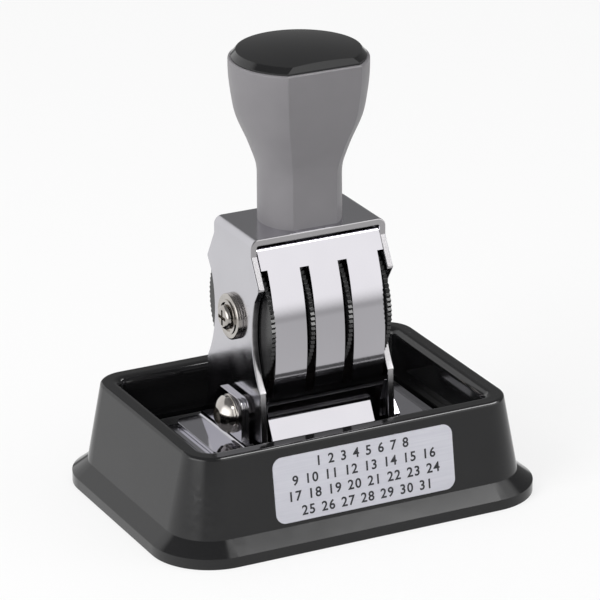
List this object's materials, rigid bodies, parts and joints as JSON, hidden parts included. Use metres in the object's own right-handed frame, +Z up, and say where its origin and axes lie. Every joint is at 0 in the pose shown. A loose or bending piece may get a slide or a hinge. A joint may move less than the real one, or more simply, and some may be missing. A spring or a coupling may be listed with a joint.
{
  "type": "date stamp",
  "caption": "Band date stamp with thumb wheels behind a slotted guard, a waisted grip and a bevelled cap, standing in a flared ink pad tray that it lifts out of.",
  "frame": {"origin": "on the table, under the middle of the tray's foot", "axes": "+Z up, +X along the tray to the right as seen from the front, the labelled front faces -Y"},
  "size_m": [0.12, 0.088, 0.134],
  "materials": {
    "tray_plastic": "moulded black polystyrene with a satin surface",
    "case_metal": "black painted steel",
    "pad_felt": "black inked felt",
    "label_foil": "silver printed foil",
    "frame_chrome": "bright plated steel sheet",
    "guard_chrome": "bright plated steel sheet",
    "axle_steel": "turned bright steel",
    "fastener_nickel": "nickel plated steel",
    "bridge_steel": "milled steel",
    "wheel_plastic": "black moulded plastic with a knurled rim",
    "band_rubber": "moulded dark rubber",
    "die_rubber": "moulded dark rubber",
    "base_chrome": "bright plated steel sheet",
    "handle_plastic": "warm grey moulded plastic",
    "cap_plastic": "black moulded plastic, bare",
    "insert_brass": "turned brass"
  },
  "bodies": {
    "tray": {"tray_shell": "tray_plastic", "pad_case": "case_metal", "ink_pad": "pad_felt", "number_label": "label_foil"},
    "dater": {"frame_yoke": "frame_chrome", "wheel_axle": "axle_steel", "axle_screws": "fastener_nickel", "axle_washers": "fastener_nickel", "cup_washers": "fastener_nickel", "front_guard": "guard_chrome", "rear_guard": "guard_chrome", "band_bridge": "bridge_steel", "month_band": "band_rubber", "day_tens_band": "band_rubber", "day_units_band": "band_rubber", "year_band": "band_rubber", "clamp_screws": "fastener_nickel", "spring_washers": "fastener_nickel", "clamp_washers": "fastener_nickel", "clamp_spacers": "fastener_nickel", "handle": "handle_plastic", "handle_cap": "cap_plastic", "handle_insert": "insert_brass", "handle_bolt": "fastener_nickel", "guard_clamp_plate": "bridge_steel", "guard_spacer_plate": "bridge_steel"},
    "base": {"base_bracket": "base_chrome", "left_wing": "base_chrome", "right_wing": "base_chrome", "die_plate": "base_chrome", "text_die": "die_rubber"},
    "month_wheel": {"month_wheel": "wheel_plastic"},
    "day_tens_wheel": {"day_tens_wheel": "wheel_plastic"},
    "day_units_wheel": {"day_units_wheel": "wheel_plastic"},
    "year_wheel": {"year_wheel": "wheel_plastic"}
  },
  "joints": [
    {"name": "dater_lift", "type": "slide", "parent": "tray", "child": "dater", "axis": [0, 0, 1], "range_m": [0, 0.045]},
    {"name": "base_height", "type": "slide", "parent": "dater", "child": "base", "axis": [0, 0, 1], "range_m": [0, 0.0006]},
    {"name": "month_wheel_turn", "type": "hinge", "parent": "dater", "child": "month_wheel", "pos_m": [0, 0, 0.056], "axis": [1, 0, 0], "continuous": true},
    {"name": "day_tens_wheel_turn", "type": "hinge", "parent": "dater", "child": "day_tens_wheel", "pos_m": [0, 0, 0.056], "axis": [1, 0, 0], "continuous": true},
    {"name": "day_units_wheel_turn", "type": "hinge", "parent": "dater", "child": "day_units_wheel", "pos_m": [0, 0, 0.056], "axis": [1, 0, 0], "continuous": true},
    {"name": "year_wheel_turn", "type": "hinge", "parent": "dater", "child": "year_wheel", "pos_m": [0, 0, 0.056], "axis": [1, 0, 0], "continuous": true}
  ]
}
